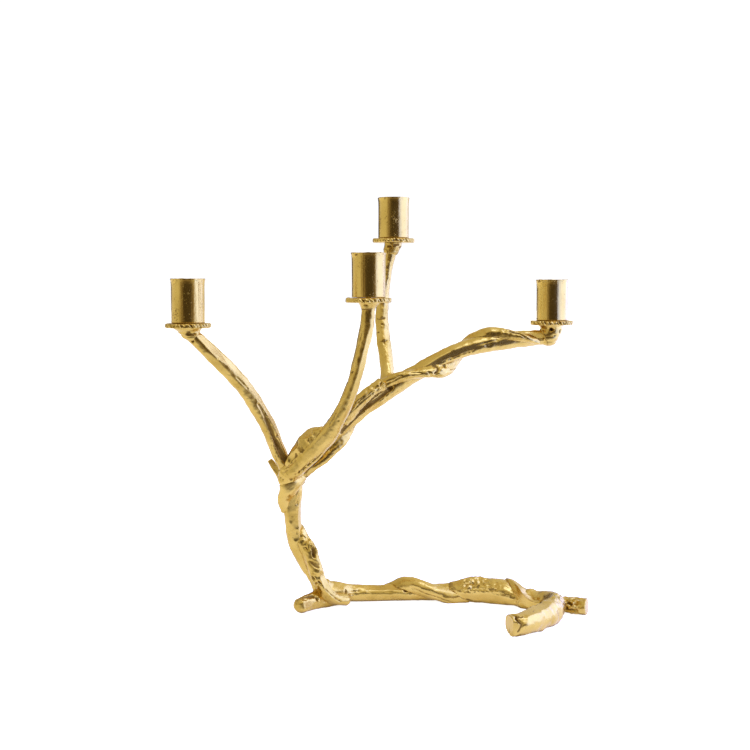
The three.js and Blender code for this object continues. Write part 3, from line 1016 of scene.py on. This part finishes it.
for side in STATIONS:
    foot = underside(f"{side}_cup") / MM
    cup = turned([
        (HOLE, 0), (12.9, 0), (13.1, 0.4), (CUP_SKIN, 1.6), (CUP_SKIN, 27.5), (13.1, 30.4),
        (13.3, 32.4), (13.6, 33.8), (13.55, 34.2), (13.3, CUP_HEIGHT), (11.7, CUP_HEIGHT),
        (11.4, 33.9), (CUP_BORE, 33), (CUP_BORE, CUP_FLOOR), (4, CUP_FLOOR), (HOLE, 1.3), (HOLE, 0),
    ], foot, sides=160)
    settle(cup, worn, foot, LUCK[side])
    finish_piece(f"{side}_candle_cup", cup, [f"{side}_cup"], CUP_BRASS)

# ---- Screws ------------------------------------------------------------------------------------
# One countersunk brass screw holds each cup and pan to their seat, from inside the cup. It is
# turned, and its slot is sawn.

SCREW_LENGTH = 11
SLOT_HALF, SLOT_DEPTH = 0.45, 0.8  # half its width

for side in STATIONS:
    foot = underside(f"{side}_cup_screw") / MM
    blank = turned([
        (0, 0), (1.4, 0), (2, 0.8), (2, 9.1), (3.6, 10.7), (3.68, 10.9), (3.55, SCREW_LENGTH),
        (0, SCREW_LENGTH),
    ], foot, sides=64)
    top = foot.z + SCREW_LENGTH
    for wall in (-SLOT_HALF, SLOT_HALF):
        faces = [face for face in blank.faces if face.calc_center_median().z > top - 0.2]
        edges = {edge for face in faces for edge in face.edges}
        verts = {vert for face in faces for vert in face.verts}
        bmesh.ops.bisect_plane(blank, geom=[*verts, *edges, *faces], dist=1e-4,
                               plane_co=foot + Vector((0, wall, 0)), plane_no=(0, 1, 0))
    slot = []
    for face in blank.faces:
        middle = face.calc_center_median()
        if face.normal.z > 0.9 and middle.z > top - 0.05 and abs(middle.y - foot.y) < SLOT_HALF:
            slot.append(face)
    sunk = bmesh.ops.extrude_face_region(blank, geom=slot)
    bottom = [part for part in sunk["geom"] if isinstance(part, bmesh.types.BMVert)]
    bmesh.ops.delete(blank, geom=slot, context="FACES")
    bmesh.ops.translate(blank, verts=bottom, vec=(0, 0, -SLOT_DEPTH))
    hollow = blank.verts.layers.float["hollow"]
    for vert in bottom:
        vert[hollow] = 1
    bmesh.ops.recalc_face_normals(blank, faces=blank.faces)
    bmesh.ops.scale(blank, verts=blank.verts, vec=(MM, MM, MM))
    finish_piece(f"{side}_screw", blank, [f"{side}_cup_screw"], CUP_BRASS)

# ---- Studio ------------------------------------------------------------------------------------
# A floor of white paper that runs to the horizon, a white surround, bluish soft boxes to the right
# and above, and darkness behind the camera, which gives the turned cups their dark stripe.

FLOOR_HALF, FLOOR_FRONT = 6, 0.36  # half its width, and how far it comes forward, in metres
DARK_TO, LIT_FROM = -0.32, -0.10  # the floor is painted dark in front of the one, and painted light behind the other

floor_form = bmesh.new()
bmesh.ops.create_grid(floor_form, x_segments=1, y_segments=1, size=FLOOR_HALF)
bmesh.ops.translate(floor_form, verts=floor_form.verts, vec=(0, FLOOR_HALF - FLOOR_FRONT, 0))
floor_mesh = bpy.data.meshes.new("floor")
floor_form.to_mesh(floor_mesh)
floor_form.free()
floor = bpy.data.objects.new("floor", floor_mesh)
bpy.context.scene.collection.objects.link(floor)
paper = bpy.data.materials.new("white_paper")
paper.use_nodes = True
sheet = paper.node_tree.nodes["Principled BSDF"]
sheet.inputs["Roughness"].default_value = 0.9
# The paper glows: even white to the camera, and painted light in what the metal mirrors.
sheet.inputs["Emission Strength"].default_value = 0.9

# The camera sees it evenly white. What the metal mirrors is a dimmer painted glow, and painted
# shade darkens it towards the front.
glow = Shade(paper.node_tree.nodes, None)
seen = glow.out(glow.node("ShaderNodeLightPath"), "Is Camera Ray")
place = glow.out(glow.node("ShaderNodeTexCoord"), "Object")
spread = glow.node("ShaderNodeSeparateXYZ", Vector=place)
painted_lit = glow.out(spread, 1).between(DARK_TO, LIT_FROM)
paper_link = paper.node_tree.links.new
# Painted shade: the paper's own colour darkens towards the front.
base = painted_lit.tint(colour(0.25, 0.25, 0.25), colour(0.9, 0.9, 0.9))
paper_link(base.socket, sheet.inputs["Base Color"])
# Painted light: a glow that only the metal mirrors, dark in front and light behind.
painted_glow = painted_lit.tint(colour(0, 0, 0), colour(0.34, 0.34, 0.32))
shown = seen.tint(painted_glow, colour(1, 1, 1))
paper_link(shown.socket, sheet.inputs["Emission Color"])
floor_mesh.materials.append(paper)

# How bright the room is in each direction. Its walls are pale, and brighter up at the right. Low
# down it is dark behind the camera, and a black flag stands far behind the vine, to the left.
world = bpy.data.worlds.new("studio")
world.use_nodes = True
sky = Shade(world.node_tree.nodes, None)
way = sky.out(sky.node("ShaderNodeTexCoord"), "Generated")
parts = sky.node("ShaderNodeSeparateXYZ", Vector=way)
right, back, up = [sky.out(parts, i) for i in range(3)]
low_wall = 0.89 + right * 0.07
high_wall = 0.87 + right * 0.28 - back * 0.06
wall = low_wall + (high_wall - low_wall) * up.between(0.1, 0.75)
night = (right * 0.1 - back).between(0.4, 0.95) * (1 - up.between(0.15, 0.6))
night = night * (1 - (0 - up).between(0.05, 0.5) * 0.3)
flag = (back * 0.93 - right * 0.37).between(0.90, 0.955) * (1 - up.between(0.2, 0.4))
wall = wall * (1 - night * 0.93) * (1 - flag * 0.95)
seen = sky.out(sky.node("ShaderNodeLightPath"), "Is Camera Ray")
wall = wall + (1.05 - wall) * seen
warmth = wall.between(0.0, 0.9).tint(colour(1, 0.74, 0.5), colour(1, 1, 1.05))
backdrop = world.node_tree.nodes["Background"]
world.node_tree.links.new(warmth.socket, backdrop.inputs["Color"])
world.node_tree.links.new(wall.socket, backdrop.inputs["Strength"])
bpy.context.scene.world = world


def soft_box(name, at, towards, size, radiance, tint):
    """A flat light that shows in the metal but not to the camera. Its places are in metres."""
    light = bpy.data.lights.new(name, "AREA")
    light.shape = "RECTANGLE"
    light.size, light.size_y = size
    light.energy = radiance * math.pi * size[0] * size[1]
    light.color = tint
    lamp = bpy.data.objects.new(name, light)
    lamp.location = at
    lamp.rotation_euler = (Vector(towards) - Vector(at)).to_track_quat("-Z", "Y").to_euler()
    lamp.visible_camera = False
    bpy.context.scene.collection.objects.link(lamp)


soft_box("right_box", (0.47, 0.05, 0.4), (0, 0.05, 0.4), (0.9, 0.78), 4.6, (0.13, 0.21, 1.0))
soft_box("top_box", (0.35, -0.45, 1.3), (0, 0, 0.1), (0.5, 0.5), 5.6, (0.26, 0.34, 1.0))

DOWNWARD = 4.229  # degrees the camera looks down

camera = bpy.data.cameras.new("camera")
camera.lens = 58.4
eye = bpy.data.objects.new("camera", camera)
eye.location = Vector((0, -1000, 268)) * MM + SHIFT
eye.rotation_euler = (math.radians(90 - DOWNWARD), 0, 0)
bpy.context.scene.collection.objects.link(eye)
bpy.context.scene.camera = eye
bpy.context.scene.view_settings.view_transform = "Standard"
